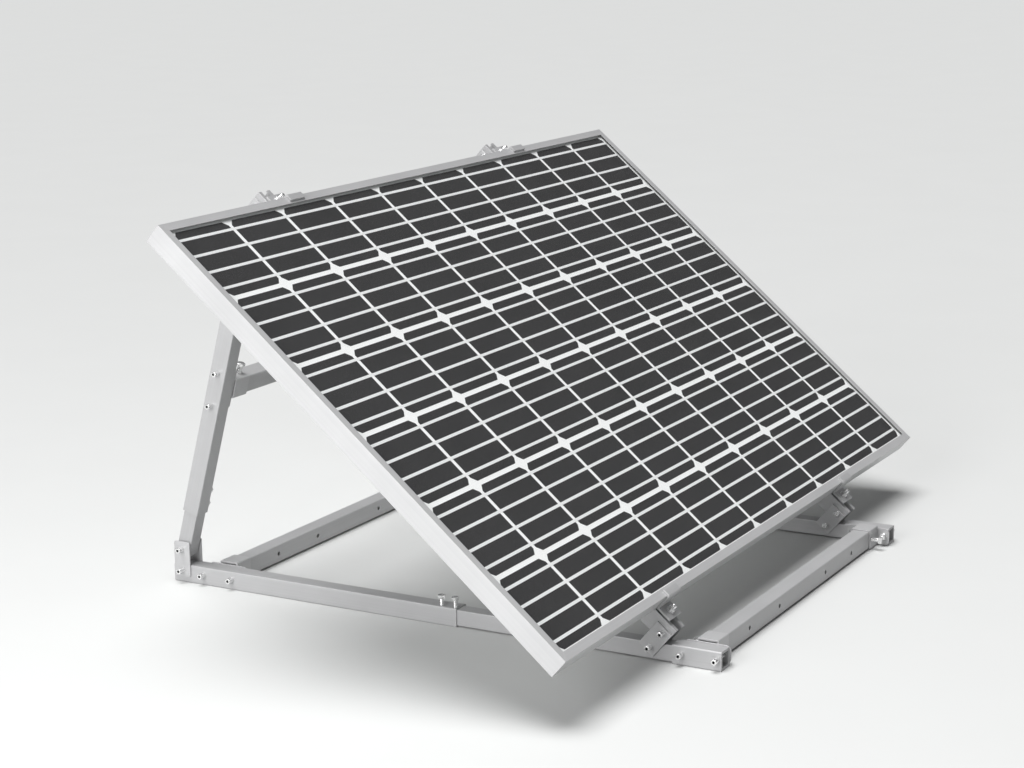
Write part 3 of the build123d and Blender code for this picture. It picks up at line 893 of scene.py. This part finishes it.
class SOLAR_OT_junction_box(bpy.types.Operator):
    """Finish the junction box and the seals"""

    bl_idname = "solar.junction_box"
    bl_label = "Junction box"

    def execute(self, context):
        settings = context.scene.solar_module
        black, tree, shader = new_material("black plastic")
        grain = add_noise(tree, place_texture(tree, tilt_angle), 900.0, 2.0)
        colour = tint(tree, grain, settings.plastic_colour, 0.8, 1.2)
        tree.links.new(colour, shader.inputs["Base Color"])
        tree.links.new(spread(tree, grain, 0.42, 0.58), shader.inputs["Roughness"])
        add_bump(tree, shader, grain, 0.3, 0.0002)
        for node in ("junction_box_base", "junction_box_lid", "cable_glands"):
            soften(context, node, settings.box_edge, black, 3)
        dress("bypass_diodes", black)
        seal, tree, shader = new_material("pale silicone")
        grain = add_noise(tree, place_texture(tree, tilt_angle), 300.0, 2.0)
        colour = tint(tree, grain, settings.seal_colour, 0.9, 1.1)
        tree.links.new(colour, shader.inputs["Base Color"])
        shader.inputs["Roughness"].default_value = 0.8
        dress_all(("frame_edge_seal", "junction_box_gasket"), seal)
        return {"FINISHED"}


class SOLAR_OT_stand(bpy.types.Operator):
    """Finish the rails, tubes, plates and clamps"""

    bl_idname = "solar.stand"
    bl_label = "Stand"

    def execute(self, context):
        settings = context.scene.solar_stand
        tube = (settings.tube_colour, settings.tube_roughness)
        fitting = (settings.plate_colour, settings.plate_roughness)
        sloping = metal("extruded rail", *tube, tilt_angle, "Y")
        dress_all(("left_panel_rail", "right_panel_rail"), sloping)
        leaning = metal("extruded leg", *tube, leg_angle, "Z")
        sides = ("left", "right")
        legs = [f"{side}_leg_{part}_tube" for side in sides for part in ("upper", "lower")]
        dress_all(legs, leaning)
        lying = metal("extruded base tube", *tube, 0.0, "Y")
        base = [f"{side}_base_{part}_tube" for side in sides for part in ("rear", "front")]
        dress_all((*base, "front_tube_sleeves"), lying)
        crossing = metal("extruded crossbeam", *tube, 0.0, "X")
        dress_all(("front_crossbeam", "rear_crossbeam", "leg_crossbeam"), crossing)
        plate = metal("satin plate", *fitting, tilt_angle, "Y")
        upright = metal("satin upright plate", *fitting, 0.0, "Z")
        flat = metal("satin fitting", *fitting, 0.0, "X")
        clamp_look = (settings.plate_colour, settings.clamp_roughness)
        clamp = metal("extruded clamp", *clamp_look, tilt_angle, "X")
        for node, material in (
            ("front_hinge_plates", plate),
            ("upper_hinge_plates", plate),
            ("foot_plates", upright),
            ("leg_crossbeam_fittings", upright),
            ("front_crossbeam_fittings", flat),
            ("rear_crossbeam_fittings", flat),
            ("lower_end_clamps", clamp),
            ("upper_end_clamps", clamp),
        ):
            soften(context, node, settings.plate_edge, material)
        return {"FINISHED"}


class SOLAR_OT_fasteners(bpy.types.Operator):
    """Finish the bolts, nuts, washers and screws"""

    bl_idname = "solar.fasteners"
    bl_label = "Fasteners"

    def execute(self, context):
        settings = context.scene.solar_stand
        look = (settings.steel_colour, settings.steel_roughness)
        self.steel = metal("stainless steel", *look, 0.0, "X", settings.steel_metallic)
        self.context = context
        for place in ("rail", "leg", "crossbeam", "foot", "front_pivot"):
            self.remake(f"{place}_bolts", self.bolt)
        for place in ("base", "leg"):
            self.remake(f"{place}_lock_screws", self.screw)
        for place in ("rail", "leg", "base"):
            self.remake(f"{place}_bolt_nuts", self.nut, nut_smooth_angle)
        for place in ("rail_bolt_washers", "leg_bolt_washers", "base_bolt_washers"):
            self.remake(place, self.washer)
        self.remake("foot_pivot_spacers", self.washer)
        for edge in ("lower", "upper"):
            self.remake(f"{edge}_clamp_bolts", self.clamp_bolt)
            self.remake(f"{edge}_clamp_nuts", self.clamp_nut, nut_smooth_angle)
        return {"FINISHED"}

    def remake(self, node, make, sharp=smooth_angle):
        """Makes each plain solid of a node anew, as one piece in the node's place."""
        shape = bmesh.new()
        for corners in islands(node):
            fresh = bmesh.new()
            make(fresh, corners)
            self.join(shape, fresh)
        name = f"{node}_detailed"
        finish_piece(self.context, shape, name, node, self.steel, sharp)

    def join(self, shape, fresh):
        """Moves a finished small shape into the shape that collects them."""
        bmesh.ops.recalc_face_normals(fresh, faces=fresh.faces)
        mesh = bpy.data.meshes.new("part")
        fresh.to_mesh(mesh)
        fresh.free()
        shape.from_mesh(mesh)
        bpy.data.meshes.remove(mesh)

    def bolt(self, fresh, corners):
        """A socket-head bolt."""
        centre, axis, along, across = measure(corners, True)
        seat, shank = head_seat(along, across)
        head = (across.max(), along.max() - seat)
        add_bolt(fresh, *head, seat - along.min(), shank, bolt_socket, bolt_thread)
        stand_up(fresh, fresh.verts, centre + axis * float(seat), axis)

    def screw(self, fresh, corners):
        """A hexagon-head lock screw."""
        centre, axis, along, across = measure(corners, True)
        seat, shank = head_seat(along, across)
        length = seat - along.min()
        head = (across.max() * math.cos(hexagon_half), along.max() - seat)
        add_hexagon_screw(fresh, *head, length, shank, screw_thread_share * length)
        stand_up(fresh, fresh.verts, centre + axis * float(seat), axis)

    def nut(self, fresh, corners):
        """A chamfered nut."""
        centre, axis, along, across = measure(corners, False)
        half_width = across.max() * math.cos(hexagon_half)
        add_nut(fresh, half_width, along.max() - along.min(), across.min())
        stand_up(fresh, fresh.verts, centre + axis * float(along.min()), axis)

    def washer(self, fresh, corners):
        """A softened ring."""
        centre, axis, along, across = measure(corners, False)
        add_washer(fresh, across.min(), across.max(), along.max() - along.min())
        stand_up(fresh, fresh.verts, centre + axis * float(along.min()), axis)

    def clamp_bolt(self, fresh, corners):
        """A hammer-head bolt: a softened bar inside the rail and a threaded stud above it."""
        level, slide, middle = on_slope(corners)
        bottom, height = level.min(), np.ptp(level)
        stud = level > bottom + above_bar
        radius = (slide[stud].max() - slide[stud].min()) / 2
        bar = (np.ptp(corners[:, 0]), np.ptp(slide), bar_height)
        bmesh.ops.create_cube(fresh, size=1.0)
        bmesh.ops.scale(fresh, vec=bar, verts=fresh.verts)
        bmesh.ops.translate(fresh, vec=(0, 0, bar_height / 2), verts=fresh.verts)
        bmesh.ops.bevel(
            fresh,
            geom=fresh.edges[:],
            offset=bar_edge,
            affect="EDGES",
            segments=2,
            profile=0.5,
            material=-1,
        )
        profile = [
            (0, height),
            (0.75 * radius, height),
            *thread(radius, height - stud_lead_in, stud_thread_foot, ridge_pitch),
            (radius, stud_foot),
            (0, stud_foot),
        ]
        lathe(fresh, profile, round_steps)
        turn = Matrix((Vector((1, 0, 0)), slope_axis, face_axis)).transposed().to_4x4()
        place = Matrix.Translation(middle + face_axis * float(bottom))
        bmesh.ops.transform(fresh, matrix=place @ turn, verts=fresh.verts)

    def clamp_nut(self, fresh, corners):
        """A flanged nut on a clamp bolt."""
        level, slide, middle = on_slope(corners)
        middle += face_axis * float(level.min())
        upward = np.array(face_axis)
        away = corners - np.array(middle)
        across = np.linalg.norm(away - np.outer(away @ upward, upward), axis=1)
        upper = across[level > level.max() - 1e-5]
        half_width = upper.max() * math.cos(hexagon_half)
        add_nut(fresh, half_width, np.ptp(level), across.min(), across.max())
        stand_up(fresh, fresh.verts, middle, face_axis)


class SOLAR_PT_panel(bpy.types.Panel):
    """The list of everything that can be made"""

    bl_idname = "SOLAR_PT_panel"
    bl_label = "Solar module"
    bl_space_type = "VIEW_3D"
    bl_region_type = "UI"
    bl_category = "Solar"

    def draw(self, context):
        for operator in operators:
            self.layout.operator(operator.bl_idname)
        scene = context.scene
        for group in (scene.solar_module, scene.solar_stand, scene.solar_stage):
            for name in group.__annotations__:
                self.layout.prop(group, name)


operators = (
    SOLAR_OT_camera,
    SOLAR_OT_stage,
    SOLAR_OT_module_frame,
    SOLAR_OT_laminate,
    SOLAR_OT_junction_box,
    SOLAR_OT_stand,
    SOLAR_OT_fasteners,
)
groups = (ModuleSettings, StandSettings, StageSettings)


def register():
    for item in (*groups, *operators, SOLAR_PT_panel):
        bpy.utils.register_class(item)
    bpy.types.Scene.solar_module = PointerProperty(type=ModuleSettings)
    bpy.types.Scene.solar_stand = PointerProperty(type=StandSettings)
    bpy.types.Scene.solar_stage = PointerProperty(type=StageSettings)


def unregister():
    del bpy.types.Scene.solar_stage
    del bpy.types.Scene.solar_stand
    del bpy.types.Scene.solar_module
    for item in reversed((*groups, *operators, SOLAR_PT_panel)):
        bpy.utils.unregister_class(item)


def main():
    """Make everything in order."""
    register()
    for operator in operators:
        category, name = operator.bl_idname.split(".")
        getattr(getattr(bpy.ops, category), name)()


if __name__ == "__main__":
    main()
